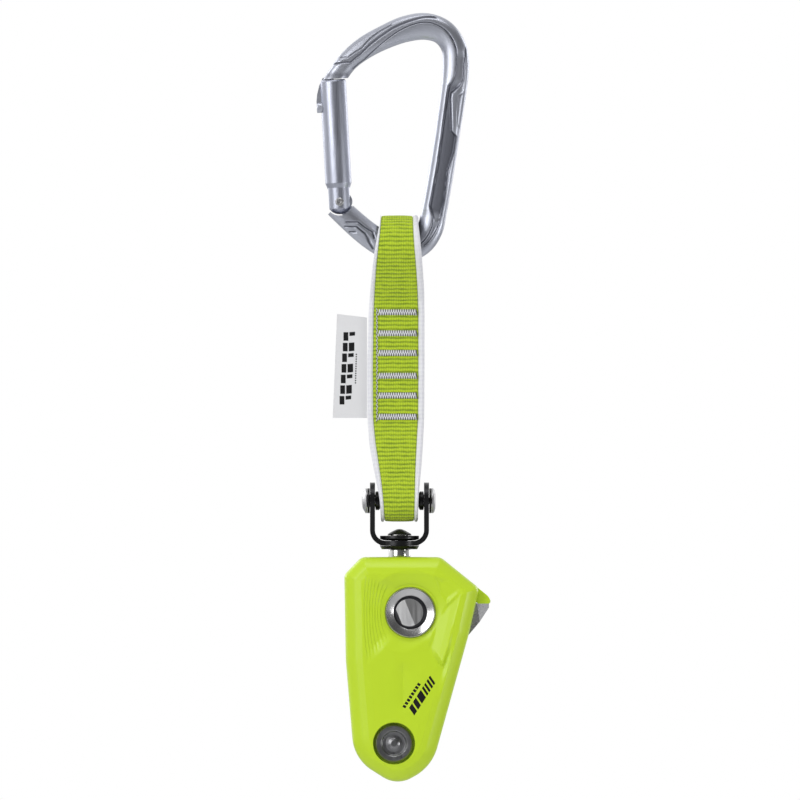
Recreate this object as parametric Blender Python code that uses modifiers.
"""An assisted-braking belay device, with the sling and the carabiner that it hangs from.

Run it with: blender --background --python part.py

Two steel side plates in moulded covers hold a V groove that brakes the rope. The front side
swings open round the lower axle. A swivel fork, a pin and a sewn sling join it to the carabiner.
Lengths are in metres. X is to the right, Y points away from the viewer, and Z is up. The origin
is where the device hangs: on the underside of the carabiner's crown, straight above the swivel.
"""

import math

import bmesh
import bpy
from mathutils import Matrix, Vector

# Fits
GAP = 0.0002  # between pieces that are fixed to each other
FIT_GAP = 0.0001  # between pieces that bear on each other
RUN = 0.0003  # between pieces that move past each other
OVER = 0.002  # how far a cutter runs past what it cuts
ROUND = 18  # sides of a turned piece

# Carabiner: its bar, from the nose round the crown, spine and basket to the gate's pivot
BAR_WIDTH = 0.0102
BAR_THICKNESS = 0.0094
BAR_LINE = [  # x and z of the bar's centre line, and its width there over BAR_WIDTH
    (-0.0272, -0.0164, 0.80),
    (-0.0209, -0.0073, 0.80),
    (-0.0142, -0.0017, 0.88),
    (-0.0056, 0.0029, 0.94),
    (0.0028, 0.0061, 1.03),
    (0.0107, 0.0070, 1.05),
    (0.0172, 0.0048, 1.00),
    (0.0213, -0.0004, 0.98),
    (0.0225, -0.0077, 1.04),
    (0.0195, -0.0331, 1.00),
    (0.0140, -0.0663, 1.00),
    (0.0122, -0.0739, 1.02),
    (0.0089, -0.0790, 1.02),
    (0.0036, -0.0820, 1.00),
    (-0.0020, -0.0823, 0.98),
    (-0.0075, -0.0796, 1.00),
    (-0.0142, -0.0749, 0.98),
    (-0.0244, -0.0658, 0.92),
]
GATE_PIVOT = (-0.0240, -0.0631)
GATE_LEAN = math.radians(3.15)
GATE_LENGTH = 0.0490
GATE_RADIUS = 0.00525
GATE_FOOT_RADIUS = 0.0046
GATE_FOOT_HEIGHT = 0.0066
KEY_HEIGHT = 0.0381  # from the pivot to the middle of the nose's key
KEY_RADIUS = 0.0022
KEY_NECK = 0.0026
KEY_CLEARANCE = 0.0006
KEY_REACH = 0.0070  # how far the key goes past the gate's axis, outwards
KEY_TUCK = 0.0004  # and inwards
TONGUE_THICKNESS = 0.0030
TONGUE_RADIUS = 0.0036
TONGUE_OFFSET = 0.0016  # its round end is off the pivot, so that it lifts the plunger
RIVET_RADIUS = 0.0013
RIVET_HEAD_RADIUS = 0.0017
RIVET_HEAD = 0.0004
RIVET_CLEARANCE = 0.00015
NOSE_CLEARANCE = 0.0005  # above the shut gate
FOOT_CLEARANCE = 0.0013  # round its foot
GATE_BORE_RADIUS = 0.0020
GATE_BORE_TOP = 0.0200
PLUNGER_LENGTH = 0.0042
GATE_WIRE = 0.0005

# Sling: one band of webbing, sewn flat between its two eyes
BASKET_EYE_Z = -0.0804  # the line that the sling swings round
BASKET_RISE = 0.0035  # how far the bar's flanks stand round that line, past half its width
LINER_WALL = 0.0009
LINER_INSET = 0.0004  # how much shorter the liner is than the eye, at each end
WEB = 0.0024  # the webbing's thickness
EYE_TO_PIN = 0.1023
PIN_SLEEVE_RADIUS = 0.0060
UPPER_SEAM_DROP = 0.0220  # from the upper eye to where the two layers meet
LOWER_SEAM_RISE = 0.0300  # from the pin to where they part
WEB_HALF_WIDTH = 0.0114
WEB_SHIFT = -0.0014  # how far it lies off centre between its eyes
EYE_HALF_WIDTH = 0.0074  # the webbing is folded narrower at both ends
TAG_REACH = 0.0135
TAG_DROP = 0.0276  # from the upper eye to the tag's top
TAG_LENGTH = 0.0416
TAG_THICKNESS = 0.0008

# Fork, its pin and the swivel
FORK_CLEARANCE = 0.0024  # on each side of the webbing's lower eye
STRAP = 0.0020
EAR_RADIUS = 0.0073
FORK_DROP = 0.0160  # from the pin to the top of the fork's base
FORK_BEND = 0.0062
FORK_ARM_HALF_WIDTH = 0.0056
BASE_RADIUS = 0.0079
PIN_RADIUS = 0.0025
PIN_SCREW_RADIUS = 0.0013
PIN_HEAD_RADIUS = 0.0050
PIN_HEAD = 0.0021
PIN_WASHER = 0.0010
PIN_BUSH_RADIUS = 0.00375
SWIVEL_WASHER = 0.0012
UPPER_WASHER = 0.0019
UPPER_WASHER_FLANGE = 0.0009  # its wide upper part, which stands clear of the fork's bends
STEM_RADIUS = 0.0034
STEM_HEAD_RADIUS = 0.0049
STEM_HEAD = 0.0026
STEM_COLLAR_RADIUS = 0.0044
STEM_COLLAR = 0.0031  # the bright stretch that shows above the housing
STEM_TAIL_RADIUS = 0.0038
STEM_TAIL = 0.0085
STEM_PIN_RADIUS = 0.0014
STEM_PIN_DEPTH = 0.55  # where it crosses the stem's tail, as a share of the tail's length
SWIVEL_BUSH_WALL = 0.0006

# Housing: x from the swivel's axis, and drop below the housing's top
HOUSING_LEFT = 0.0221
HOUSING_RIGHT = 0.0319
HOUSING_HEIGHT = 0.0916  # to the outline's lower corner, before it is rounded
TOP_CORNER_X = 0.0164
SHOULDER_DROP = 0.0125
WAIST_X = 0.0276
WAIST_DROP = 0.0313
HEEL_X = 0.0130
HEEL_RISE = 0.0078
TOE_X = -0.0010
LEFT_HEEL_X = -0.0182
LEFT_HEEL_RISE = 0.0108
LEFT_BEND_X = -0.0215
LEFT_BEND_DROP = 0.0413
FLAP_REACH = 0.0045  # how far the rear side's flap goes past the front side
FLAP_DROP = 0.0180
HALF_ROPE_GAP = 0.0080
PLATE = 0.0020
PLATE_INSET = 0.0026
COVER_DEPTH = 0.0074  # from a plate's outer face to its cover's face
COVER_WALL = 0.0024
COVER_SIDE_WALL = 0.0050  # outside the hollow, from the plate's edge
COVER_EDGE = [(0.0, 0.0), (0.0026, 0.0), (0.0054, 0.0009), (0.0076, 0.0026), (0.0086, 0.0050)]
SPINE_WALL = 0.0022
SPINE_TOP_DROP = 0.0070
SPINE_FOOT_DROP = 0.0330
AXLE_X = -0.0022
AXLE_RISE = 0.0170
AXLE_RADIUS = 0.0030
AXLE_SHOULDER_RADIUS = 0.0050
AXLE_HEAD_RADIUS = 0.0076
AXLE_HEAD = 0.0023
AXLE_SPACER_RADIUS = 0.0058
RECESS_RADIUS = 0.0084
RECESS_WALL = 0.0021
AXLE_HEAD_DEPTH = 0.0015  # from a cover's face down to the axle's head
AXLE_END_DEPTH = 0.0020  # and down to its other end
NUT_DEPTH = 0.0012
NUT_RADIUS = 0.0068
AXLE_WASHER_RADIUS = 0.0070
AXLE_WASHER = 0.0010
LATCH_X = 0.0043
LATCH_DROP = 0.0222
LATCH_POST_RADIUS = 0.0080
LATCH_TENON_RADIUS = 0.0055
LATCH_PIN_RADIUS = 0.0036
LATCH_PIN_LENGTH = 0.0045
LATCH_BORE = 0.0119
LATCH_THREAD = 0.0042  # depth of the thread in the post's tail
LATCH_SCREW_HEAD = 0.0018
RING_RADIUS = 0.0100
RING_WALL = 0.0025  # of the cover's boss round the ring
RING_BORE_RADIUS = 0.0066
RING_DROP = 0.0012  # from the cover's face down to the ring's outer edge
RING_SLOPE = 0.0012
BUTTON_RADIUS = 0.0063
BUTTON_FLANGE_RADIUS = 0.0074
BUTTON_FLANGE = 0.0012
BUTTON_STEP = 0.0007  # from the button's face down to its flange's seat in the ring
BUTTON_DROP = 0.0006  # from the ring's inner edge down to the button's face
BUTTON_TRAVEL = 0.0018
BUTTON_TAIL_RADIUS = 0.0032
BUTTON_PAD_RADIUS = 0.0052
BUTTON_PAD_OFFSET = 0.0010
BUTTON_PAD = 0.0009
BUTTON_WIRE = 0.0005
LATCH_WIRE = 0.0006
DISH_RADIUS = 0.0170
DISH_DEPTH = 0.0018
BLOCK_HALF_WIDTH = 0.0085
BLOCK_TOP_DROP = 0.0010
BLOCK_HEIGHT = 0.0105
JAW_LEFT = 0.0145
JAW_FOOT_DROP = 0.0315
JAW_HALF_GAP_TOP = 0.0025
JAW_HALF_GAP_FOOT = 0.0064
JAW_LIP = 0.0039  # how far the rear jaw goes past the front cover
JAW_SCREWS_X = (0.0178, 0.0236)
JAW_SCREW_DROP = 0.0205
BLOCK_SCREWS_X = (-0.0061, 0.0061)
BLOCK_SCREW_DROP = 0.0072
COVER_SCREWS = [(-0.0145, 0.0150), (0.0085, 0.0600)]  # x and drop
SCREW_RADIUS = 0.00125
SCREW_HEAD_RADIUS = 0.0024
SCREW_HEAD = 0.0012
SCREW_SOCKET = 0.0007
SCREW_POST_RADIUS = 0.0034

# Places that follow from the sizes above
FORK_HALF_GAP = EYE_HALF_WIDTH + FORK_CLEARANCE
LINER_BORE = BAR_WIDTH / 2 + BASKET_RISE
UPPER_EYE = LINER_BORE + LINER_WALL + FIT_GAP
LOWER_EYE = PIN_SLEEVE_RADIUS + FIT_GAP
PIN_Z = BASKET_EYE_Z - EYE_TO_PIN
BASE_TOP = PIN_Z - FORK_DROP
LOWER_WASHER_FOOT = BASE_TOP - STRAP - 2 * FIT_GAP - SWIVEL_WASHER
HOUSING_TOP = LOWER_WASHER_FOOT - STEM_COLLAR
AXLE_Z = HOUSING_TOP - HOUSING_HEIGHT + AXLE_RISE
LATCH_Z = HOUSING_TOP - LATCH_DROP
PLATE_OUTER = HALF_ROPE_GAP + PLATE
COVER_FACE = PLATE_OUTER + COVER_DEPTH
RING_FACE = COVER_FACE - RING_DROP
POST_END = HALF_ROPE_GAP - GAP
COVER_RIM = HALF_ROPE_GAP + RUN + GAP
FLAP_X = HOUSING_RIGHT + FLAP_REACH
SHOULDER_SLOPE = SHOULDER_DROP / (HOUSING_RIGHT - TOP_CORNER_X)
FLAP_ROOT_X = HOUSING_RIGHT - 0.0009  # the flap's roof starts just inside the front side's edge
ROOF_RADIUS = math.hypot(FLAP_ROOT_X - AXLE_X, HOUSING_TOP - FLAP_DROP - AXLE_Z)
JAW_RADIUS = ROOF_RADIUS - RUN - GAP

PARTS = "belay_device"
CUTTERS = "cutters"


# ---------------------------------------------------------------- scene and materials


def clear_scene():
    """Removes what Blender starts with, and makes the two collections."""
    for obj in list(bpy.data.objects):
        bpy.data.objects.remove(obj)
    for name in (PARTS, CUTTERS):
        bpy.context.scene.collection.children.link(bpy.data.collections.new(name))


def finish(name, colour, roughness, metallic):
    """A material of one colour."""
    material = bpy.data.materials.new(name)
    material.use_nodes = True
    shader = material.node_tree.nodes["Principled BSDF"]
    shader.inputs["Base Color"].default_value = (*colour, 1.0)
    shader.inputs["Roughness"].default_value = roughness
    shader.inputs["Metallic"].default_value = metallic
    return material


def axis_frame(x, z, name):
    """An empty on a joint's axis, which the pieces that turn or slide there are parented to."""
    empty = bpy.data.objects.new(name, None)
    empty.location = (x, 0.0, z)
    bpy.data.collections[PARTS].objects.link(empty)
    bpy.context.view_layer.update()
    return empty


def add(name, mesh, matrix=None):
    """A new object for a mesh or a curve. It is a cutter until piece() makes it a part."""
    obj = bpy.data.objects.new(name, mesh)
    obj.matrix_world = matrix or Matrix.Identity(4)
    obj.hide_render = True
    obj.display_type = "WIRE"
    bpy.data.collections[CUTTERS].objects.link(obj)
    return obj


def piece(obj, material, parent):
    """Makes an object a part: it gets its material, and moves with its parent."""
    obj.hide_render = False
    obj.display_type = "TEXTURED"
    obj.data.materials.append(material)
    bpy.data.collections[CUTTERS].objects.unlink(obj)
    bpy.data.collections[PARTS].objects.link(obj)
    obj.parent = parent
    obj.matrix_parent_inverse = parent.matrix_world.inverted()
    return obj


# ---------------------------------------------------------------- shapes


def tidy(mesh):
    """Welds a mesh's caps, joins the faces of each flat, and turns its faces outwards."""
    work = bmesh.new()
    work.from_mesh(mesh)
    bmesh.ops.remove_doubles(work, verts=work.verts, dist=1e-7)
    bmesh.ops.dissolve_limit(work, angle_limit=1e-3, verts=work.verts, edges=work.edges)
    bmesh.ops.recalc_face_normals(work, faces=work.faces)
    work.to_mesh(mesh)
    work.free()
    mesh.update()


def rounded(corners, steps=4):
    """The points of an outline whose corners are (x, z, radius)."""
    points = []
    for i, (x, z, radius) in enumerate(corners):
        here = Vector((x, z))
        back = Vector(corners[i - 1][:2]) - here
        ahead = Vector(corners[(i + 1) % len(corners)][:2]) - here
        if radius <= 0:
            points.append(tuple(here))
            continue
        half = back.angle(ahead) / 2
        reach = min(radius / math.tan(half), 0.49 * back.length, 0.49 * ahead.length)
        bend = reach * math.tan(half)
        centre = here + (back.normalized() + ahead.normalized()).normalized() * bend / math.sin(half)
        start = here + back.normalized() * reach - centre
        turn = start.angle_signed(here + ahead.normalized() * reach - centre)
        for step in range(steps + 1):
            angle = -turn * step / steps
            points.append(tuple(centre + Matrix.Rotation(angle, 2) @ start))
    return points


def inset(corners, distance):
    """The same outline, that much further in. The corners run anticlockwise."""
    moved = []
    for i, (x, z, radius) in enumerate(corners):
        here = Vector((x, z))
        back = (here - Vector(corners[i - 1][:2])).normalized()
        ahead = (Vector(corners[(i + 1) % len(corners)][:2]) - here).normalized()
        inward = Vector((-back.y - ahead.y, back.x + ahead.x)).normalized()
        step = inward * distance / inward.dot(Vector((-back.y, back.x)))
        bends_in = back.cross(ahead) > 0
        left = radius - distance if bends_in else radius + distance
        moved.append((x + step.x, z + step.y, max(left, 0.0004)))
    return moved


PLANES = {  # where a flat outline's own x, y and normal point
    "XZ": Matrix(((1, 0, 0, 0), (0, 0, -1, 0), (0, 1, 0, 0), (0, 0, 0, 1))),
    "YZ": Matrix(((0, 0, 1, 0), (1, 0, 0, 0), (0, 1, 0, 0), (0, 0, 0, 1))),
}


def flat(name, outline, low, high, plane="XZ"):
    """A flat piece of that outline, from low to high along the plane's normal."""
    curve = bpy.data.curves.new(name, "CURVE")
    curve.dimensions = "2D"
    curve.fill_mode = "BOTH"
    curve.extrude = (high - low) / 2
    spline = curve.splines.new("POLY")
    spline.points.add(len(outline) - 1)
    for point, (x, y) in zip(spline.points, outline):
        point.co = (x, y, 0.0, 1.0)
    spline.use_cyclic_u = True
    middle = (low + high) / 2
    shift = (0, middle, 0) if plane == "XZ" else (middle, 0, 0)
    matrix = Matrix.Translation(shift) @ PLANES[plane]
    shape = bpy.data.objects.new(name, curve)
    bpy.context.scene.collection.objects.link(shape)
    bpy.context.view_layer.update()
    graph = bpy.context.evaluated_depsgraph_get()
    mesh = bpy.data.meshes.new_from_object(shape.evaluated_get(graph))
    bpy.data.objects.remove(shape)
    mesh.name = name
    tidy(mesh)
    return add(name, mesh, matrix)


def block(name, low, high, matrix=None):
    """A box between two corners."""
    work = bmesh.new()
    bmesh.ops.create_cube(work, size=1.0)
    size = Vector(high) - Vector(low)
    middle = (Vector(high) + Vector(low)) / 2
    bmesh.ops.transform(work, matrix=Matrix.Diagonal((*size, 1.0)), verts=work.verts)
    bmesh.ops.translate(work, vec=middle, verts=work.verts)
    mesh = bpy.data.meshes.new(name)
    work.to_mesh(mesh)
    work.free()
    return add(name, mesh, matrix)


TURN = {  # what turns a profile's own axis, which is Z, on to the axis named
    "X": Matrix.Rotation(math.radians(90), 4, "Y"),
    "Y": Matrix.Rotation(math.radians(-90), 4, "X"),
    "Z": Matrix.Identity(4),
}


def turned(name, profile, axis, at=(0, 0, 0), ring=False, sides=ROUND, matrix=None):
    """A round piece. profile is (radius, place along the axis), from one end to the other."""
    mesh = bpy.data.meshes.new(name)
    rows = [(radius, 0.0, along) for radius, along in profile]
    edges = [(i, i + 1) for i in range(len(rows) - 1)]
    if ring:
        edges.append((len(rows) - 1, 0))
    mesh.from_pydata(rows, edges, [])
    shape = bpy.data.objects.new(name, mesh)
    bpy.context.scene.collection.objects.link(shape)
    screw = shape.modifiers.new("turn", "SCREW")
    screw.steps = sides
    screw.render_steps = sides
    screw.use_merge_vertices = True
    screw.merge_threshold = 1e-6
    bpy.context.view_layer.update()
    graph = bpy.context.evaluated_depsgraph_get()
    solid = bpy.data.meshes.new_from_object(shape.evaluated_get(graph))
    bpy.data.objects.remove(shape)
    solid.name = name
    tidy(solid)
    solid.shade_smooth()
    solid.set_sharp_from_angle(angle=math.radians(35))
    return add(name, solid, (matrix or Matrix.Translation(at)) @ TURN[axis])


def rod(name, radius, low, high, axis, at=(0, 0, 0), matrix=None, sides=ROUND):
    """A plain cylinder."""
    profile = [(0, low), (radius, low), (radius, high), (0, high)]
    return turned(name, profile, axis, at, matrix=matrix, sides=sides)


def tube(name, bore, radius, low, high, axis, at=(0, 0, 0)):
    """A plain ring or tube."""
    profile = [(bore, low), (radius, low), (radius, high), (bore, high)]
    return turned(name, profile, axis, at, ring=True)


def coil(name, radius, wire, turns, length, matrix, per_turn=8):
    """A coil spring along its own Z, with its lower end at 0."""
    curve = bpy.data.curves.new(name, "CURVE")
    curve.dimensions = "3D"
    curve.bevel_depth = wire / 2
    curve.bevel_resolution = 1
    curve.use_fill_caps = True
    count = int(turns * per_turn)
    spline = curve.splines.new("POLY")
    spline.points.add(count)
    for i, point in enumerate(spline.points):
        angle = 2 * math.pi * i / per_turn
        rise = wire / 2 + (length - wire) * i / count
        point.co = (radius * math.cos(angle), radius * math.sin(angle), rise, 1.0)
    return add(name, curve, matrix)


def cut(obj, *cutters):
    """Takes cutters away from an object."""
    return combine(obj, cutters, "DIFFERENCE")


def join(obj, *others):
    """Makes others part of an object."""
    return combine(obj, others, "UNION")


def keep(obj, *others):
    """Keeps only what lies inside others too."""
    return combine(obj, others, "INTERSECT")


def combine(obj, others, operation):
    for other in others:
        modifier = obj.modifiers.new(f"{operation.lower()} {other.name}", "BOOLEAN")
        modifier.operation = operation
        modifier.object = other
    return obj


# ---------------------------------------------------------------- carabiner


def smooth_line(stations, per_span=2):
    """Points along a smooth curve through the stations, each (x, z, width share)."""
    rows = [Vector(s) for s in stations]
    rows = [2 * rows[0] - rows[1], *rows, 2 * rows[-1] - rows[-2]]
    knots = [0.0]
    for a, b in zip(rows, rows[1:]):
        knots.append(knots[-1] + math.sqrt((b.xy - a.xy).length))
    points = []
    for i in range(1, len(rows) - 2):
        for step in range(per_span):
            points.append(between(rows[i - 1 : i + 3], knots[i - 1 : i + 3], step / per_span))
    points.append(rows[-2])
    return points


def between(rows, knots, share):
    """A point on the centripetal curve between the middle two of four rows."""
    t = knots[1] + share * (knots[2] - knots[1])

    def mix(a, b, start, end):
        return a * ((end - t) / (end - start)) + b * ((t - start) / (end - start))

    first = [mix(rows[k], rows[k + 1], knots[k], knots[k + 1]) for k in range(3)]
    second = [mix(first[k], first[k + 1], knots[k], knots[k + 2]) for k in range(2)]
    return mix(second[0], second[1], knots[1], knots[2])


def bar_section(width, sides=12):
    """The bar's section: a squarish oval, as (in the plane, across it)."""
    points = []
    for i in range(sides):
        angle = 2 * math.pi * (i + 0.5) / sides
        c, s = math.cos(angle), math.sin(angle)
        along = math.copysign(abs(c) ** 0.72, c) * width / 2
        across = math.copysign(abs(s) ** 0.72, s) * BAR_THICKNESS / 2
        points.append((along, across))
    return points


def swept_bar(name):
    """The bar before its ends are worked: sections set across a smooth line."""
    line = smooth_line(BAR_LINE)
    work = bmesh.new()
    rings = []
    for i, here in enumerate(line):
        ahead = line[min(i + 1, len(line) - 1)].xy - line[max(i - 1, 0)].xy
        side = Vector((-ahead.y, ahead.x)).normalized()
        ring = []
        for along, across in bar_section(here.z * BAR_WIDTH):
            ring.append(work.verts.new((here.x + side.x * along, across, here.y + side.y * along)))
        rings.append(ring)
    for a, b in zip(rings, rings[1:]):
        for i in range(len(a)):
            j = (i + 1) % len(a)
            work.faces.new((a[i], a[j], b[j], b[i]))
    work.faces.new(rings[0])
    work.faces.new(rings[-1])
    mesh = bpy.data.meshes.new(name)
    work.to_mesh(mesh)
    work.free()
    tidy(mesh)
    mesh.shade_smooth()
    return add(name, mesh)


def gate_frame():
    """The gate's own frame: its pivot, with Z along the gate."""
    pivot = Matrix.Translation((GATE_PIVOT[0], 0, GATE_PIVOT[1]))
    return pivot @ Matrix.Rotation(-GATE_LEAN, 4, "Y")


def in_gate_frame(name, outline, half):
    """A flat piece of that outline, drawn in the gate's own frame."""
    shape = flat(name, outline, -half, half)
    shape.matrix_world = gate_frame() @ shape.matrix_world
    return shape


def carabiner_body(material, parent):
    """The forged bar, with the nose's key at one end and the gate's tongue at the other."""
    frame = gate_frame()
    body = swept_bar("carabiner_body")
    wide = GATE_RADIUS + OVER
    nose_face = GATE_LENGTH + NOSE_CLEARANCE
    space = block("nose_space", (-2 * wide, -wide, KEY_HEIGHT - wide), (wide, wide, nose_face), frame)
    foot_space = rod("foot_space", GATE_FOOT_RADIUS + FOOT_CLEARANCE, -wide, wide, "Y", matrix=frame)
    cut(body, space, foot_space)
    neck = [
        (KEY_TUCK, KEY_HEIGHT),
        (KEY_TUCK, nose_face + OVER),
        (-KEY_REACH + 0.0028, nose_face + OVER / 2),
        (-KEY_REACH + 0.0012, KEY_HEIGHT + 0.0082),
        (-KEY_REACH, KEY_HEIGHT + 0.0024),
        (-KEY_REACH, KEY_HEIGHT),
    ]
    key_at = frame @ Matrix.Translation((0, 0, KEY_HEIGHT))
    key = rod("nose_key", KEY_RADIUS, -KEY_REACH, KEY_TUCK, "X", matrix=key_at, sides=20)
    join(body, in_gate_frame("nose_neck", neck, KEY_NECK / 2), key)
    half = TONGUE_THICKNESS / 2
    cam_at = frame @ Matrix.Translation((TONGUE_OFFSET, 0, 0))
    cam = rod("tongue_cam", TONGUE_RADIUS, -half, half, "Y", matrix=cam_at)
    strip = [(-0.0022, -0.0026), (0.0070, -0.0105), (0.0100, -0.0065), (0.0030, -0.0005)]
    join(body, cam, in_gate_frame("tongue_strip", strip, half - 0.00005))
    cut(body, rod("tongue_hole", RIVET_RADIUS + RIVET_CLEARANCE, -wide, wide, "Y", matrix=frame, sides=12))
    return piece(body, material, parent)


def carabiner_gate(material, parent):
    """The solid gate: a slot for the tongue at its foot, and the key's slot at its top."""
    frame = gate_frame()
    foot, body, top = GATE_FOOT_RADIUS, GATE_RADIUS, GATE_LENGTH
    profile = [
        (0, -0.0052),
        (foot * 0.56, -0.0048),
        (foot * 0.87, -0.0040),
        (foot, -0.0028),
        (foot, GATE_FOOT_HEIGHT - 0.0004),
        (body, GATE_FOOT_HEIGHT + 0.0006),
        (body, top - 0.0007),
        (body - 0.0007, top),
        (0, top),
    ]
    gate = turned("carabiner_gate", profile, "Z", matrix=frame, sides=24)
    reach = GATE_RADIUS + OVER
    slot = TONGUE_THICKNESS / 2 + RUN
    slot_top = TONGUE_RADIUS + TONGUE_OFFSET
    cut(gate, block("tongue_slot", (-reach, -slot, -reach), (reach, slot, slot_top), frame))
    cut(gate, rod("spring_bore", GATE_BORE_RADIUS, 0, GATE_BORE_TOP, "Z", matrix=frame, sides=20))
    cut(gate, rod("rivet_hole", RIVET_RADIUS + RIVET_CLEARANCE, -reach, reach, "Y", matrix=frame, sides=12))
    neck = KEY_NECK / 2 + KEY_CLEARANCE / 2
    inner = KEY_TUCK + KEY_CLEARANCE
    low, high = (-2 * reach, -neck, KEY_HEIGHT), (inner, neck, top + OVER)
    cut(gate, block("neck_slot", low, high, frame))
    key_at = frame @ Matrix.Translation((0, 0, KEY_HEIGHT))
    key = KEY_RADIUS + KEY_CLEARANCE
    cut(gate, rod("key_slot", key, -2 * reach, inner + 0.00005, "X", matrix=key_at, sides=20))
    return piece(gate, material, parent)


def gate_works(steel, spring_steel, bar_parent, gate_parent):
    """The rivet that the gate turns on, and the plunger and spring that close it."""
    frame = gate_frame()
    seat = GATE_FOOT_RADIUS + FIT_GAP
    end = seat + RIVET_HEAD
    crown = RIVET_HEAD_RADIUS * 0.7
    profile = [(0, -end), (crown, -end), (RIVET_HEAD_RADIUS, -seat - FIT_GAP)]
    profile += [(RIVET_HEAD_RADIUS, -seat), (RIVET_RADIUS, -seat)]
    profile += [(radius, -along) for radius, along in reversed(profile)]
    piece(turned("gate_rivet", profile, "Y", matrix=frame, sides=20), steel, bar_parent)
    tip = TONGUE_RADIUS + RUN
    plug = GATE_BORE_RADIUS - RUN
    top = tip + PLUNGER_LENGTH
    profile = [(0, tip), (plug * 0.7, tip), (plug, tip + 0.0004), (plug, top), (0, top)]
    plunger = turned("gate_plunger", profile, "Z", matrix=frame, sides=18)
    piece(plunger, steel, gate_parent)
    room = GATE_BORE_TOP - top - 2 * FIT_GAP
    at = frame @ Matrix.Translation((0, 0, top + FIT_GAP))
    radius = plug - GATE_WIRE / 2
    piece(coil("gate_spring", radius, GATE_WIRE, 7, room, at), spring_steel, gate_parent)


# ---------------------------------------------------------------- sling


def tangent(centre, radius, point, side):
    """The angle at which a line from a point touches a circle, on the side named."""
    away = Vector(point) - Vector(centre)
    return math.atan2(away.y, away.x) + side * math.acos(radius / away.length)


def arc(centre, radius, start, end, steps):
    """Points along an arc, as (across, up)."""
    points = []
    for step in range(steps + 1):
        angle = start + (end - start) * step / steps
        points.append((centre[0] + radius * math.cos(angle), centre[1] + radius * math.sin(angle)))
    return points


def drop_shape(centre, radius, tip_height, steps=16):
    """A round eye that narrows to a point above or below it, as the band closes."""
    tip = (0.0, tip_height)
    right = tangent(centre, radius, tip, 1 if tip_height < centre[1] else -1)
    left = math.pi - right
    if tip_height < centre[1]:
        return [tip, *arc(centre, radius, right, left, steps)]
    return [tip, *reversed(arc(centre, radius, right, left - 2 * math.pi, steps))]


def sling_side(upper, lower, upper_seam, lower_seam):
    """The sling seen from its edge: an eye at each end, and the sewn length between them."""
    up, low = (0.0, upper), (0.0, lower)
    big, small = UPPER_EYE + WEB, LOWER_EYE + WEB
    top = tangent(up, big, (WEB, upper_seam), 1)
    foot = tangent(low, small, (WEB, lower_seam), -1)
    points = arc(up, big, top, math.pi - top, 18)
    points += [(-WEB, upper_seam), (-WEB, lower_seam)]
    points += arc(low, small, math.pi - foot, foot + 2 * math.pi, 16)
    points += [(WEB, lower_seam), (WEB, upper_seam)]
    return points


def sling_front(upper, lower, upper_seam, lower_seam):
    """The sling seen from the front: it narrows at both eyes, where the band is folded."""
    top = upper + UPPER_EYE + WEB + OVER
    foot = lower - LOWER_EYE - WEB - OVER
    rows = [  # half width, height, and how much of the shift there is
        (EYE_HALF_WIDTH, foot, 0),
        (EYE_HALF_WIDTH + 0.0005, lower, 0),
        (EYE_HALF_WIDTH + 0.0017, lower + 0.0085, 0.4),
        (WEB_HALF_WIDTH - 0.0005, lower + 0.0175, 0.9),
        (WEB_HALF_WIDTH, lower_seam, 1),
        (WEB_HALF_WIDTH, upper_seam, 1),
        (WEB_HALF_WIDTH - 0.0011, upper - 0.0070, 0.6),
        (EYE_HALF_WIDTH + 0.0012, upper, 0.2),
        (EYE_HALF_WIDTH, upper + 0.0080, 0),
        (EYE_HALF_WIDTH, top, 0),
    ]
    right = [(share * WEB_SHIFT + half, z) for half, z, share in rows]
    left = [(share * WEB_SHIFT - half, z) for half, z, share in rows]
    return right + left[::-1]


def sling(web, rubber, paper, polymer, parent):
    """The webbing, its tag, the liner on the carabiner's bar and the sleeve on the pin."""
    upper, lower = BASKET_EYE_Z, PIN_Z
    upper_seam, lower_seam = upper - UPPER_SEAM_DROP, lower + LOWER_SEAM_RISE
    wide = WEB_HALF_WIDTH + OVER
    side = sling_side(upper, lower, upper_seam, lower_seam)
    band = flat("sling_webbing", side, -wide, wide, "YZ")
    deep = UPPER_EYE + WEB + OVER
    keep(band, flat("sling_front", sling_front(upper, lower, upper_seam, lower_seam), -deep, deep))
    holes = [("upper_eye", upper, UPPER_EYE, upper_seam + WEB)]
    holes += [("lower_eye", lower, LOWER_EYE, lower_seam - WEB)]
    for name, height, radius, tip in holes:
        cut(band, flat(name, drop_shape((0.0, height), radius, tip), -wide - OVER, wide + OVER, "YZ"))
    piece(band, web, parent)

    at = (0, 0, upper)
    half = EYE_HALF_WIDTH - LINER_INSET
    liner = tube("bar_liner", LINER_BORE, LINER_BORE + LINER_WALL, -half, half, "X", at)
    piece(liner, rubber, parent)

    at = (0, 0, lower)
    half = EYE_HALF_WIDTH
    bore = PIN_RADIUS + GAP
    piece(tube("pin_sleeve", bore, PIN_SLEEVE_RADIUS, -half, half, "X", at), polymer, parent)

    top = upper - TAG_DROP
    edge = WEB_SHIFT - WEB_HALF_WIDTH - GAP
    far = edge - TAG_REACH
    tag = [(edge, top - 0.0022), (far + 0.0012, top), (far, top - TAG_LENGTH), (edge, top - TAG_LENGTH)]
    half = TAG_THICKNESS / 2
    piece(flat("sling_tag", tag, -half, half), paper, parent)


# ---------------------------------------------------------------- fork and swivel


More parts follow.
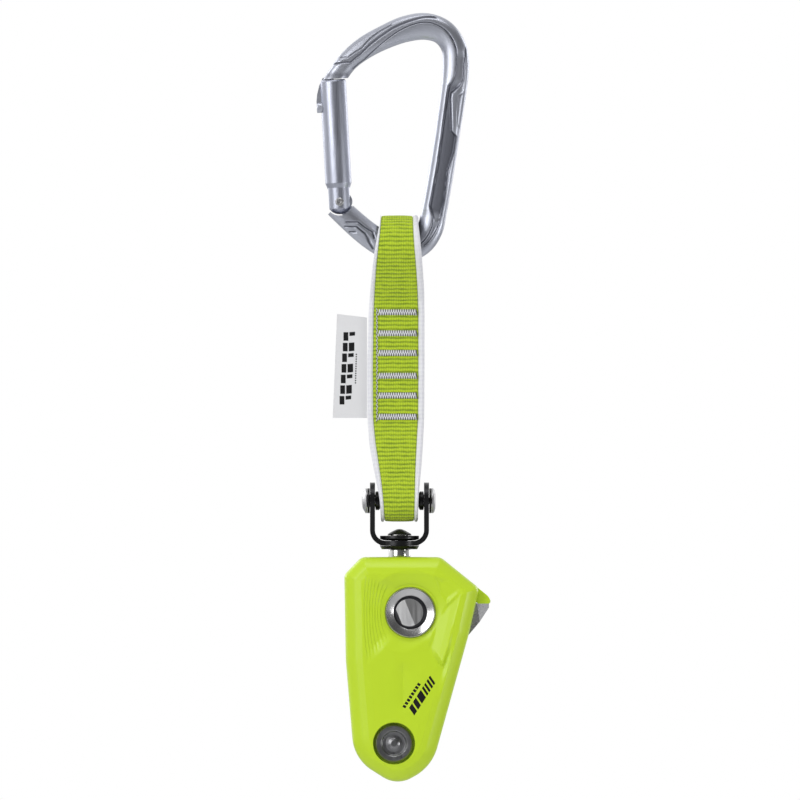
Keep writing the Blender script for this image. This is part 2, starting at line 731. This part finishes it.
def fork(material, parent):
    """The fork: a strap bent to a U, with round ears and a round base."""
    outer, inner = FORK_HALF_GAP + STRAP, FORK_HALF_GAP
    top = PIN_Z + EAR_RADIUS + OVER
    foot = BASE_TOP - STRAP
    bend = FORK_BEND
    shape = [
        (-outer, foot, bend),
        (outer, foot, bend),
        (outer, top, 0),
        (inner, top, 0),
        (inner, BASE_TOP, bend - STRAP),
        (-inner, BASE_TOP, bend - STRAP),
        (-inner, top, 0),
        (-outer, top, 0),
    ]
    deep = BASE_RADIUS + OVER
    strap = flat("fork", rounded(shape, steps=6), -deep, deep)
    half = FORK_ARM_HALF_WIDTH
    neck = tangent((0.0, PIN_Z), EAR_RADIUS, (half, PIN_Z - 1.7 * EAR_RADIUS), 1)
    side = arc((0.0, PIN_Z), EAR_RADIUS, neck, math.pi - neck, 16)
    side += [(-half, PIN_Z - 1.7 * EAR_RADIUS), (-half, foot - OVER)]
    side += [(half, foot - OVER), (half, PIN_Z - 1.7 * EAR_RADIUS)]
    keep(strap, flat("fork_side", side, -outer - OVER, outer + OVER, "YZ"))
    base = rod("fork_base", BASE_RADIUS, foot + 0.00003, BASE_TOP - 0.00003, "Z")
    join(strap, base)
    bush = STEM_RADIUS + RUN + SWIVEL_BUSH_WALL + GAP
    cut(strap, rod("swivel_hole", bush, foot - OVER, BASE_TOP + OVER, "Z"))
    cut(strap, rod("pin_holes", PIN_RADIUS + GAP, -outer - OVER, outer + OVER, "X", (0, 0, PIN_Z)))
    return piece(strap, material, parent)


def fork_pin(bright, black, parent):
    """The pin across the fork, its screw, and the washers and bushes on it."""
    at = (0, 0, PIN_Z)
    outer = FORK_HALF_GAP + STRAP
    seat = outer + FIT_GAP + PIN_WASHER + FIT_GAP
    crown = PIN_HEAD_RADIUS * 0.62
    screw_bore = PIN_SCREW_RADIUS + GAP
    end = outer
    profile = [
        (0, -seat - PIN_HEAD),
        (crown, -seat - PIN_HEAD),
        (PIN_HEAD_RADIUS, -seat - PIN_HEAD * 0.35),
        (PIN_HEAD_RADIUS, -seat),
        (PIN_RADIUS, -seat),
        (PIN_RADIUS, end),
        (screw_bore, end),
        (screw_bore, -outer),
        (0, -outer),
    ]
    piece(turned("fork_pin", profile, "X", at), bright, parent)
    profile = [
        (0, -outer * 0.5),
        (PIN_SCREW_RADIUS, -outer * 0.5),
        (PIN_SCREW_RADIUS, seat),
        (PIN_HEAD_RADIUS, seat),
        (PIN_HEAD_RADIUS, seat + PIN_HEAD * 0.3),
        (crown, seat + PIN_HEAD * 0.7),
        (0, seat + PIN_HEAD * 0.7),
    ]
    piece(turned("pin_screw", profile, "X", at), bright, parent)
    bush_low = EYE_HALF_WIDTH + RUN
    bush_high = FORK_HALF_GAP - FIT_GAP
    for side, sign in (("left", -1), ("right", 1)):
        near, far = sorted((sign * (outer + FIT_GAP), sign * (outer + FIT_GAP + PIN_WASHER)))
        washer = tube(f"pin_washer_{side}", PIN_RADIUS + GAP, PIN_HEAD_RADIUS, near, far, "X", at)
        piece(washer, black, parent)
        near, far = sorted((sign * bush_low, sign * bush_high))
        bush = tube(f"pin_bush_{side}", PIN_RADIUS + GAP, PIN_BUSH_RADIUS, near, far, "X", at)
        piece(bush, black, parent)


def swivel(bright, black, polymer, fork_parent, housing_parent):
    """The stem that the housing hangs from, and the washers and bush that it turns in."""
    foot = BASE_TOP - STRAP
    bush_bore = STEM_RADIUS + RUN
    bush_radius = bush_bore + SWIVEL_BUSH_WALL
    piece(tube("swivel_bush", bush_bore, bush_radius, foot, BASE_TOP, "Z"), polymer, fork_parent)
    low, high = BASE_TOP + FIT_GAP, BASE_TOP + FIT_GAP + UPPER_WASHER
    flat_floor = FORK_HALF_GAP + STRAP - FORK_BEND - RUN
    wide = BASE_RADIUS - FIT_GAP
    profile = [
        (bush_bore, low),
        (flat_floor, low),
        (flat_floor, high - UPPER_WASHER_FLANGE),
        (wide, high - UPPER_WASHER_FLANGE),
        (wide, high),
        (bush_bore, high),
    ]
    washer = turned("upper_swivel_washer", profile, "Z", ring=True)
    piece(washer, black, fork_parent)
    low, high = LOWER_WASHER_FOOT, foot - FIT_GAP
    slant = BASE_RADIUS - 0.0008
    profile = [(bush_bore, low), (slant, low), (BASE_RADIUS, high), (bush_bore, high)]
    washer = turned("lower_swivel_washer", profile, "Z", ring=True)
    piece(washer, black, fork_parent)

    head = BASE_TOP + 2 * FIT_GAP + UPPER_WASHER
    collar = LOWER_WASHER_FOOT - FIT_GAP
    seat = HOUSING_TOP - BLOCK_TOP_DROP + GAP
    tail = seat - STEM_TAIL
    profile = [
        (0, head + STEM_HEAD),
        (STEM_HEAD_RADIUS * 0.45, head + STEM_HEAD * 0.85),
        (STEM_HEAD_RADIUS * 0.80, head + STEM_HEAD * 0.5),
        (STEM_HEAD_RADIUS, head + STEM_HEAD * 0.22),
        (STEM_HEAD_RADIUS * 0.84, head),
        (STEM_RADIUS, head),
        (STEM_RADIUS, collar),
        (STEM_COLLAR_RADIUS, collar),
        (STEM_COLLAR_RADIUS, seat),
        (STEM_TAIL_RADIUS, seat),
        (STEM_TAIL_RADIUS, tail),
        (0, tail),
    ]
    stem = turned("swivel_stem", profile, "Z")
    at = (0, 0, seat - STEM_TAIL * STEM_PIN_DEPTH)
    hole = STEM_PIN_RADIUS + FIT_GAP
    cut(stem, rod("stem_pin_hole", hole, -COVER_FACE, COVER_FACE, "Y", at, sides=12))
    piece(stem, bright, housing_parent)
    end = POST_END - 2 * GAP
    piece(rod("stem_pin", STEM_PIN_RADIUS, -end, end, "Y", at, sides=12), bright, housing_parent)


# ---------------------------------------------------------------- housing


def front_corners():
    """The front side's outline, anticlockwise from its upper left corner."""
    top, foot = HOUSING_TOP, HOUSING_TOP - HOUSING_HEIGHT
    return [
        (-HOUSING_LEFT, top, 0.008),
        (LEFT_BEND_X, top - LEFT_BEND_DROP, 0.060),
        (LEFT_HEEL_X, foot + LEFT_HEEL_RISE, 0.010),
        (TOE_X, foot, 0.011),
        (HEEL_X, foot + HEEL_RISE, 0.014),
        (WAIST_X, top - WAIST_DROP, 0.020),
        (HOUSING_RIGHT, top - SHOULDER_DROP, 0.003),
        (TOP_CORNER_X, top, 0.005),
    ]


def loft(name, rings):
    """A closed solid through rings of points that match one another."""
    work = bmesh.new()
    made = [[work.verts.new(point) for point in ring] for ring in rings]
    for a, b in zip(made, made[1:]):
        for i in range(len(a)):
            j = (i + 1) % len(a)
            work.faces.new((a[i], a[j], b[j], b[i]))
    work.faces.new(made[0])
    work.faces.new(made[-1])
    mesh = bpy.data.meshes.new(name)
    work.to_mesh(mesh)
    work.free()
    tidy(mesh)
    return add(name, mesh)


def cover_shape(name, side):
    """A cover before it is cut: the outline, with its outer edge rounded. side is -1 in front."""
    rise = (COVER_FACE - COVER_RIM) / COVER_EDGE[-1][0]
    rings = []
    for depth, step in COVER_EDGE:
        y = side * (COVER_RIM + depth * rise)
        rings.append([(x, y, z) for x, z in rounded(inset(front_corners(), step))])
    return loft(name, rings)


def along_y(side, near, far):
    """Two places on one side of the middle plane, the lower first."""
    return sorted((side * near, side * far))


def plate_pocket(side):
    """What a cover leaves free for its plate."""
    low, high = along_y(side, HALF_ROPE_GAP - GAP, PLATE_OUTER + GAP)
    name = f"plate_pocket_{side}"
    return flat(name, rounded(inset(front_corners(), PLATE_INSET - GAP)), low, high)


def hollow(side, posts):
    """A cover's inside, less the posts that stand in it, each (x, z, radius)."""
    low, high = along_y(side, PLATE_OUTER, COVER_FACE - COVER_WALL)
    walls = rounded(inset(front_corners(), PLATE_INSET + COVER_SIDE_WALL))
    space = flat(f"hollow_{side}", walls, low, high)
    low, high = along_y(side, HALF_ROPE_GAP, COVER_FACE)
    for i, (x, z, radius) in enumerate(posts):
        cut(space, rod(f"post_{side}_{i}", radius, low, high, "Y", (x, 0, z)))
    return space


def screw(name, x, z, side, inward, length, material, parent):
    """A countersunk screw in a plate. inward is 1 where it goes towards the middle plane."""
    head = PLATE_OUTER if inward == 1 else HALF_ROPE_GAP
    profile = [
        (0, head - inward * SCREW_SOCKET),
        (SCREW_RADIUS * 0.7, head - inward * SCREW_SOCKET),
        (SCREW_RADIUS * 0.8, head),
        (SCREW_HEAD_RADIUS, head),
        (SCREW_RADIUS, head - inward * SCREW_HEAD),
        (SCREW_RADIUS, head - inward * length),
        (0, head - inward * length),
    ]
    profile = [(radius, side * along) for radius, along in profile]
    return piece(turned(name, profile, "Y", (x, 0, z), sides=12), material, parent)


def screw_hole(name, x, z, side, inward, length):
    """The countersink and hole for one of those screws."""
    head = PLATE_OUTER if inward == 1 else HALF_ROPE_GAP
    room = SCREW_RADIUS + FIT_GAP
    mouth = SCREW_HEAD_RADIUS + FIT_GAP
    profile = [
        (0, head + inward * OVER),
        (mouth, head + inward * OVER),
        (mouth, head - inward * FIT_GAP),
        (room, head - inward * (SCREW_HEAD + FIT_GAP)),
        (room, head - inward * (length + FIT_GAP)),
        (0, head - inward * (length + FIT_GAP)),
    ]
    profile = [(radius, side * along) for radius, along in profile]
    return turned(name, profile, "Y", (x, 0, z), sides=12)


SHELL_SCREW = PLATE + 0.0032  # lengths of the screws
JAW_SCREW = PLATE + 0.0030
BLOCK_SCREW = PLATE + 0.0040


def side_plate(side, name, material, parent):
    """A steel side plate with the holes that both plates have."""
    low, high = along_y(side, HALF_ROPE_GAP, PLATE_OUTER)
    plate = flat(name, rounded(inset(front_corners(), PLATE_INSET)), low, high)
    far = COVER_FACE
    cut(plate, rod(f"axle_hole_{side}", AXLE_RADIUS + GAP, -far, far, "Y", (AXLE_X, 0, AXLE_Z)))
    for i, (x, drop) in enumerate(COVER_SCREWS):
        z = HOUSING_TOP - drop
        cut(plate, screw_hole(f"cover_hole_{side}_{i}", x, z, side, -1, SHELL_SCREW))
    for i, x in enumerate(JAW_SCREWS_X):
        z = HOUSING_TOP - JAW_SCREW_DROP
        cut(plate, screw_hole(f"jaw_hole_{side}_{i}", x, z, side, 1, JAW_SCREW))
    return piece(plate, material, parent)


def jaw(side, name, right_edge, material, parent):
    """Half of the V groove. The two jaws lean together towards the roof, and pinch the rope."""
    top, foot = HOUSING_TOP, HOUSING_TOP - JAW_FOOT_DROP
    start = math.acos((min(right_edge, FLAP_ROOT_X) - AXLE_X) / JAW_RADIUS)
    end = math.acos((JAW_LEFT - AXLE_X) / JAW_RADIUS)
    outline = [(JAW_LEFT, foot), (WAIST_X - 0.0002, foot), (HOUSING_RIGHT + 0.0002, foot + 0.0056)]
    if right_edge > HOUSING_RIGHT + GAP:
        ledge = top - FLAP_DROP - RUN - GAP
        outline += [(right_edge, foot + 0.0113), (right_edge, ledge), (FLAP_ROOT_X + 0.0003, ledge)]
    outline += arc((AXLE_X, AXLE_Z), JAW_RADIUS, start, end, 8)
    low, high = along_y(side, 0, POST_END)
    solid = flat(name, outline, low, high)
    highest = AXLE_Z + JAW_RADIUS + OVER
    lean = (JAW_HALF_GAP_FOOT - JAW_HALF_GAP_TOP) / (top - FLAP_DROP - foot)
    section = [
        (JAW_HALF_GAP_FOOT + lean * OVER, foot - OVER),
        (HALF_ROPE_GAP, foot - OVER),
        (HALF_ROPE_GAP, highest),
        (JAW_HALF_GAP_TOP, highest),
        (JAW_HALF_GAP_TOP, top - FLAP_DROP),
    ]
    section = [(side * y, z) for y, z in section]
    keep(solid, flat(f"{name}_section", section, 0, FLAP_X + OVER, "YZ"))
    for i, x in enumerate(JAW_SCREWS_X):
        z = HOUSING_TOP - JAW_SCREW_DROP
        cut(solid, screw_hole(f"{name}_hole_{i}", x, z, side, 1, JAW_SCREW))
    return piece(solid, material, parent)


def jaw_right_edges():
    """How far right each jaw goes: the front one to the cover's edge, the rear one past it."""
    return HOUSING_RIGHT + 0.0002, HOUSING_RIGHT + JAW_LIP


def front_cover(material, parent):
    """The front cover: a dish round the ring, and a recess for the axle's head."""
    side = -1
    axle, latch = (AXLE_X, 0, AXLE_Z), (LATCH_X, 0, LATCH_Z)
    cover = cover_shape("front_cover", side)
    posts = [(AXLE_X, AXLE_Z, RECESS_RADIUS + RECESS_WALL), (LATCH_X, LATCH_Z, RING_RADIUS + RING_WALL)]
    posts += [(x, HOUSING_TOP - drop, SCREW_POST_RADIUS) for x, drop in COVER_SCREWS]
    cut(cover, plate_pocket(side), hollow(side, posts))
    floor = COVER_FACE - DISH_DEPTH
    dish_floor = RING_RADIUS + 0.0006
    flare = (DISH_RADIUS - dish_floor) * OVER / DISH_DEPTH
    dish = [
        (0, -floor),
        (dish_floor, -floor),
        (DISH_RADIUS + flare, -COVER_FACE - OVER),
        (0, -COVER_FACE - OVER),
    ]
    cut(cover, turned("dish", dish, "Y", latch))
    far = COVER_FACE + OVER
    cut(cover, rod("ring_hole", RING_RADIUS + GAP, -far, -HALF_ROPE_GAP, "Y", latch))
    seat = axle_seat() - RUN
    cut(cover, rod("axle_recess", RECESS_RADIUS, -far, -seat, "Y", axle))
    cut(cover, rod("axle_shoulder_hole", AXLE_SHOULDER_RADIUS + RUN, -far, -HALF_ROPE_GAP, "Y", axle))
    for i, (x, drop) in enumerate(COVER_SCREWS):
        z = HOUSING_TOP - drop
        cut(cover, screw_hole(f"front_cover_screw_hole_{i}", x, z, side, -1, SHELL_SCREW))
    return piece(cover, material, parent)


def axle_seat():
    """From the middle plane to the underside of the axle's head."""
    return COVER_FACE - AXLE_HEAD_DEPTH - AXLE_HEAD


def rear_cover(material, parent):
    """The rear cover. Its spine closes the left side, and its roof closes the V groove."""
    side = 1
    axle = (AXLE_X, 0, AXLE_Z)
    cover = cover_shape("rear_cover", side)
    inner, outer = -POST_END, COVER_RIM + 0.0010

    spine = flat("spine", rounded(inset(front_corners(), FIT_GAP)), inner, outer)
    inside = rounded(inset(front_corners(), SPINE_WALL))
    cut(spine, flat("spine_inside", inside, inner - OVER, outer + OVER))
    low = (-HOUSING_LEFT - OVER, inner - OVER, HOUSING_TOP - SPINE_FOOT_DROP)
    high = (-BLOCK_HALF_WIDTH - OVER, outer + OVER, HOUSING_TOP - SPINE_TOP_DROP)
    keep(spine, block("spine_reach", low, high))

    flap_top = HOUSING_TOP - SHOULDER_SLOPE * (FLAP_X - TOP_CORNER_X)
    flap_foot = HOUSING_TOP - FLAP_DROP
    root = TOP_CORNER_X + 0.0010
    ridge = [
        (root, flap_foot, 0),
        (FLAP_X - 0.0006, flap_foot, 0.0006),
        (FLAP_X, flap_top - GAP, 0.0014),
        (root, HOUSING_TOP - SHOULDER_SLOPE * (root - TOP_CORNER_X) - GAP, 0),
    ]
    roof = flat("roof", rounded(ridge), inner, COVER_FACE - 0.0040)
    cut(roof, rod("swing_space", ROOF_RADIUS, inner - OVER, COVER_FACE, "Y", axle, sides=120))
    join(cover, spine, roof)

    posts = [(AXLE_X, AXLE_Z, RECESS_RADIUS + RECESS_WALL)]
    posts += [(x, HOUSING_TOP - drop, SCREW_POST_RADIUS) for x, drop in COVER_SCREWS]
    cut(cover, plate_pocket(side), hollow(side, posts))
    far = COVER_FACE + OVER
    cut(cover, rod("nut_recess", RECESS_RADIUS, HALF_ROPE_GAP, far, "Y", axle))
    for i, (x, drop) in enumerate(COVER_SCREWS):
        z = HOUSING_TOP - drop
        cut(cover, screw_hole(f"rear_cover_screw_hole_{i}", x, z, side, -1, SHELL_SCREW))
    return piece(cover, material, parent)


def head_block(material, parent):
    """The steel block between the plates that holds the swivel's stem."""
    top = HOUSING_TOP - BLOCK_TOP_DROP
    low = (-BLOCK_HALF_WIDTH, -POST_END, top - BLOCK_HEIGHT)
    high = (BLOCK_HALF_WIDTH, POST_END, top)
    solid = block("head_block", low, high)
    seat = top + GAP
    hole = rod("stem_hole", STEM_TAIL_RADIUS + GAP, seat - STEM_TAIL - GAP, top + OVER, "Z")
    at = (0, 0, seat - STEM_TAIL * STEM_PIN_DEPTH)
    pin = STEM_PIN_RADIUS + FIT_GAP
    cut(solid, hole, rod("block_pin_hole", pin, -COVER_FACE, COVER_FACE, "Y", at, sides=12))
    for i, x in enumerate(BLOCK_SCREWS_X):
        z = HOUSING_TOP - BLOCK_SCREW_DROP
        cut(solid, screw_hole(f"block_hole_{i}", x, z, 1, 1, BLOCK_SCREW))
    return piece(solid, material, parent)


def latch_post(material, bright, spring_steel, parent, latch_parent):
    """The post between the plates, with the latch pin and its spring in it."""
    at = (LATCH_X, 0, LATCH_Z)
    front, back = -POST_END, POST_END
    bore = LATCH_PIN_RADIUS + RUN
    floor = front + LATCH_BORE
    thread = SCREW_RADIUS + GAP
    tenon_end = PLATE_OUTER - FIT_GAP
    profile = [
        (0, floor),
        (bore, floor),
        (bore, front),
        (LATCH_POST_RADIUS, front),
        (LATCH_POST_RADIUS, back),
        (LATCH_TENON_RADIUS, back),
        (LATCH_TENON_RADIUS, tenon_end),
        (thread, tenon_end),
        (thread, tenon_end - LATCH_THREAD),
        (0, tenon_end - LATCH_THREAD),
    ]
    piece(turned("latch_post", profile, "Y", at), material, parent)
    cap = PLATE_OUTER + FIT_GAP
    wide = LATCH_TENON_RADIUS + 0.0015
    profile = [
        (0, cap + LATCH_SCREW_HEAD),
        (wide - 0.0006, cap + LATCH_SCREW_HEAD),
        (wide, cap + LATCH_SCREW_HEAD - 0.0006),
        (wide, cap),
        (SCREW_RADIUS, cap),
        (SCREW_RADIUS, tenon_end - LATCH_THREAD + 2 * GAP),
        (0, tenon_end - LATCH_THREAD + 2 * GAP),
    ]
    piece(turned("latch_post_screw", profile, "Y", at), bright, parent)
    tip = front + FIT_GAP
    back = tip + LATCH_PIN_LENGTH
    rim = LATCH_PIN_RADIUS
    profile = [(0, tip), (rim - 0.0005, tip), (rim, tip + 0.0005), (rim, back), (0, back)]
    piece(turned("latch_pin", profile, "Y", at, sides=24), bright, latch_parent)
    room = floor - back - 2 * FIT_GAP
    start = Matrix.Translation((LATCH_X, back + FIT_GAP, LATCH_Z)) @ TURN["Y"]
    spring = coil("latch_spring", LATCH_PIN_RADIUS - LATCH_WIRE, LATCH_WIRE, 5, room, start)
    piece(spring, spring_steel, latch_parent)


def lower_axle(dark, bright, parent):
    """The axle that the front side swings on, with its spacer, washer and nut."""
    at = (AXLE_X, 0, AXLE_Z)
    seat = -axle_seat()
    face = seat - AXLE_HEAD
    end = COVER_FACE - AXLE_END_DEPTH
    rim = AXLE_HEAD_RADIUS
    profile = [
        (0, face + 0.0006),
        (rim * 0.20, face + 0.0006),
        (rim * 0.30, face + 0.0013),
        (rim * 0.58, face + 0.0013),
        (rim * 0.64, face + 0.0003),
        (rim * 0.92, face),
        (rim, face + 0.0005),
        (rim, seat),
        (AXLE_SHOULDER_RADIUS, seat),
        (AXLE_SHOULDER_RADIUS, -PLATE_OUTER - GAP),
        (AXLE_RADIUS, -PLATE_OUTER - GAP),
        (AXLE_RADIUS, end),
        (0, end),
    ]
    piece(turned("lower_axle", profile, "Y", at, sides=24), dark, parent)
    bore = AXLE_RADIUS + GAP
    half = POST_END - GAP
    piece(tube("axle_spacer", bore, AXLE_SPACER_RADIUS, -half, half, "Y", at), bright, parent)
    low = PLATE_OUTER + FIT_GAP
    high = low + AXLE_WASHER
    piece(tube("axle_washer", bore, AXLE_WASHER_RADIUS, low, high, "Y", at), bright, parent)
    low, high = high + FIT_GAP, COVER_FACE - NUT_DEPTH
    nut = tube("axle_nut", bore, NUT_RADIUS, low, high, "Y", at)
    corner = 0.92 * NUT_RADIUS / math.cos(math.pi / 6)  # the flats are a little inside the round
    hexagon = arc((AXLE_X, AXLE_Z), corner, 0, math.pi * 5 / 3, 5)
    keep(nut, flat("nut_flats", hexagon, low - OVER, high + OVER))
    piece(nut, dark, parent)


def lock_ring(material, parent):
    """The steel ring in the front cover. Its face slopes in to the button."""
    at = (LATCH_X, 0, LATCH_Z)
    back = -PLATE_OUTER - FIT_GAP
    lip = -(RING_FACE - RING_SLOPE)
    step = -button_face() + BUTTON_STEP
    profile = [
        (RING_RADIUS, back),
        (RING_RADIUS, -RING_FACE + 0.0003),
        (RING_RADIUS - 0.0003, -RING_FACE),
        (RING_RADIUS - 0.0007, -RING_FACE),
        (RING_BORE_RADIUS, lip),
        (RING_BORE_RADIUS, step),
        (BUTTON_FLANGE_RADIUS + RUN, step),
        (BUTTON_FLANGE_RADIUS + RUN, back),
    ]
    return piece(turned("lock_ring", profile, "Y", at, ring=True, sides=28), material, parent)


def button_face():
    """From the middle plane to the button's lower step."""
    return RING_FACE - RING_SLOPE - BUTTON_DROP


def lock_button(material, spring_steel, parent):
    """The push button: a pad off its centre, with a slanted half, and a tail to the latch pin."""
    at = (LATCH_X, 0, LATCH_Z)
    face = -button_face()
    flange = face + BUTTON_STEP + GAP
    under = flange + BUTTON_FLANGE
    tail_end = -HALF_ROPE_GAP - FIT_GAP
    profile = [
        (0, face),
        (BUTTON_RADIUS - 0.0002, face),
        (BUTTON_RADIUS, face + 0.0002),
        (BUTTON_RADIUS, flange),
        (BUTTON_FLANGE_RADIUS, flange),
        (BUTTON_FLANGE_RADIUS, under),
        (BUTTON_TAIL_RADIUS, under),
        (BUTTON_TAIL_RADIUS, tail_end),
        (0, tail_end),
    ]
    button = turned("lock_button", profile, "Y", at)
    top = face - BUTTON_PAD
    pad_at = (LATCH_X - BUTTON_PAD_OFFSET, 0, LATCH_Z)
    pad = rod("button_pad", BUTTON_PAD_RADIUS, top, face + 0.0003, "Y", pad_at)
    slant = Matrix.Translation((LATCH_X - 0.0003, top, LATCH_Z)) @ Matrix.Rotation(math.radians(22), 4, "Y")
    slant = slant @ Matrix.Rotation(math.radians(8), 4, "Z")
    cut(pad, block("pad_slant", (0, -0.01, -0.02), (0.02, 0, 0.02), slant))
    join(button, pad)
    piece(button, material, parent)
    room = -PLATE_OUTER - under - 2 * FIT_GAP
    start = Matrix.Translation((LATCH_X, under + FIT_GAP, LATCH_Z)) @ TURN["Y"]
    radius = BUTTON_TAIL_RADIUS + 2 * RUN + BUTTON_WIRE
    spring = coil("button_spring", radius, BUTTON_WIRE, 3, room, start)
    piece(spring, spring_steel, parent)


def fasteners(material, rear_parent, front_parent):
    """The countersunk screws that hold the covers, the jaws and the head block."""
    sides = [("rear", 1, rear_parent), ("front", -1, front_parent)]
    for label, side, parent in sides:
        for i, (x, drop) in enumerate(COVER_SCREWS, 1):
            name = f"{label}_cover_screw_{i}"
            screw(name, x, HOUSING_TOP - drop, side, -1, SHELL_SCREW, material, parent)
        for i, x in enumerate(JAW_SCREWS_X, 1):
            name = f"{label}_jaw_screw_{i}"
            screw(name, x, HOUSING_TOP - JAW_SCREW_DROP, side, 1, JAW_SCREW, material, parent)
    for i, x in enumerate(BLOCK_SCREWS_X, 1):
        z = HOUSING_TOP - BLOCK_SCREW_DROP
        screw(f"head_block_screw_{i}", x, z, 1, 1, BLOCK_SCREW, material, rear_parent)


def housing(green, steel, dark, bright, spring_steel, rear, front, button, latch):
    """The two sides of the housing, and what is between them."""
    front_edge, rear_edge = jaw_right_edges()
    plate = side_plate(1, "rear_plate", steel, rear)
    far = COVER_FACE
    tenon = LATCH_TENON_RADIUS + GAP
    cut(plate, rod("tenon_hole", tenon, HALF_ROPE_GAP - OVER, far, "Y", (LATCH_X, 0, LATCH_Z)))
    for i, x in enumerate(BLOCK_SCREWS_X):
        z = HOUSING_TOP - BLOCK_SCREW_DROP
        cut(plate, screw_hole(f"plate_block_hole_{i}", x, z, 1, 1, BLOCK_SCREW))
    plate = side_plate(-1, "front_plate", steel, front)
    tail = BUTTON_TAIL_RADIUS + RUN
    cut(plate, rod("tail_hole", tail, -far, -HALF_ROPE_GAP + OVER, "Y", (LATCH_X, 0, LATCH_Z)))

    jaw(1, "rear_jaw", rear_edge, bright, rear)
    jaw(-1, "front_jaw", front_edge, bright, front)
    rear_cover(green, rear)
    front_cover(green, front)
    head_block(steel, rear)
    latch_post(steel, bright, spring_steel, rear, latch)
    lower_axle(dark, bright, rear)
    lock_ring(bright, front)
    lock_button(bright, spring_steel, button)
    fasteners(dark, rear, front)


def build():
    clear_scene()
    grey = finish("grey_anodised_aluminium", (0.36, 0.38, 0.45), 0.34, 1.0)
    green = finish("lime_moulding", (0.47, 0.67, 0.03), 0.38, 0.0)
    web = finish("lime_webbing", (0.42, 0.58, 0.03), 0.85, 0.0)
    paper = finish("pale_tag", (0.75, 0.75, 0.75), 0.8, 0.0)
    rubber = finish("black_rubber", (0.015, 0.015, 0.015), 0.7, 0.0)
    polymer = finish("grey_polymer", (0.18, 0.18, 0.18), 0.5, 0.0)
    black = finish("black_steel", (0.015, 0.015, 0.015), 0.4, 1.0)
    bright = finish("bright_steel", (0.65, 0.65, 0.64), 0.25, 1.0)
    steel = finish("satin_steel", (0.48, 0.48, 0.47), 0.4, 1.0)
    dark = finish("dark_steel", (0.16, 0.16, 0.17), 0.4, 1.0)
    spring_steel = finish("spring_steel", (0.4, 0.4, 0.4), 0.35, 1.0)

    hang = axis_frame(0, 0, "hang_point")
    gate_axis = axis_frame(*GATE_PIVOT, "gate_axis")
    sling_axis = axis_frame(0, BASKET_EYE_Z, "sling_axis")
    fork_axis = axis_frame(0, PIN_Z, "fork_axis")
    swivel_axis = axis_frame(0, BASE_TOP, "swivel_axis")
    front_axis = axis_frame(AXLE_X, AXLE_Z, "front_side_axis")
    button_axis = axis_frame(LATCH_X, LATCH_Z, "button_axis")
    latch_axis = axis_frame(LATCH_X, LATCH_Z, "latch_axis")

    carabiner_body(grey, hang)
    carabiner_gate(grey, gate_axis)
    gate_works(bright, spring_steel, hang, gate_axis)
    sling(web, rubber, paper, polymer, sling_axis)
    fork(black, fork_axis)
    fork_pin(bright, black, fork_axis)
    swivel(bright, black, polymer, fork_axis, swivel_axis)
    housing(green, steel, dark, bright, spring_steel, swivel_axis, front_axis, button_axis, latch_axis)


build()
